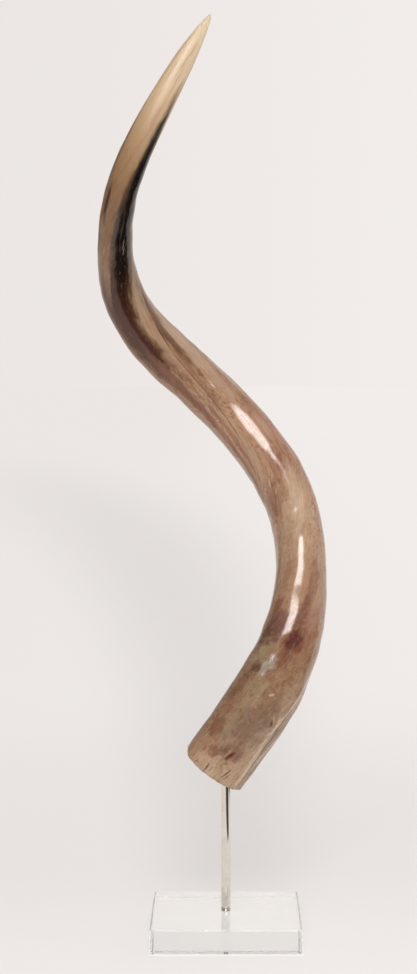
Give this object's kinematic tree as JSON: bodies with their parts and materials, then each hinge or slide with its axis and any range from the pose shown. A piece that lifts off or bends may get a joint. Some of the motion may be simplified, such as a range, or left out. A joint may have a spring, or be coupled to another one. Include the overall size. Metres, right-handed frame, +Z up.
{
  "type": "shofar",
  "caption": "Long polished spiral horn with a hollow open end and a solid pointed tip, hung on an upright rod that stands in a thick clear block",
  "frame": {"origin": "middle of the clear block's underside, on the surface that the stand rests on, under the post's axis", "axes": "+Z up along the post, +X to the right and +Y to the back, parallel to the sides of the stand's block; the horn's open end is at the front and its spiral leans to the back"},
  "size_m": [0.2342, 0.1762, 0.93],
  "materials": {
    "horn": "polished natural horn, streaked honey, brown and cream",
    "plug": "plain hardwood, unvarnished",
    "post": "mirror-polished stainless steel",
    "ring": "fine-turned stainless steel",
    "stud": "plain threaded steel",
    "button": "natural nylon",
    "block": "clear cast acrylic, flame-polished edges",
    "insert": "turned stainless steel"
  },
  "bodies": {
    "stand": {"base_block": "block", "base_insert": "insert", "base_stud": "stud", "foot_ring": "ring", "post": "post"},
    "button": {"bearing_button": "button"},
    "horn_with_plug": {"horn": "horn", "horn_plug": "plug"}
  },
  "joints": [
    {"name": "horn_turn", "type": "hinge", "parent": "stand", "child": "button", "pos_m": [0, 0, 0.212], "axis": [0, 0, 1], "continuous": true},
    {"name": "horn_lift", "type": "slide", "parent": "button", "child": "horn_with_plug", "axis": [0, 0, 1], "range_m": [0, 0.1]}
  ]
}
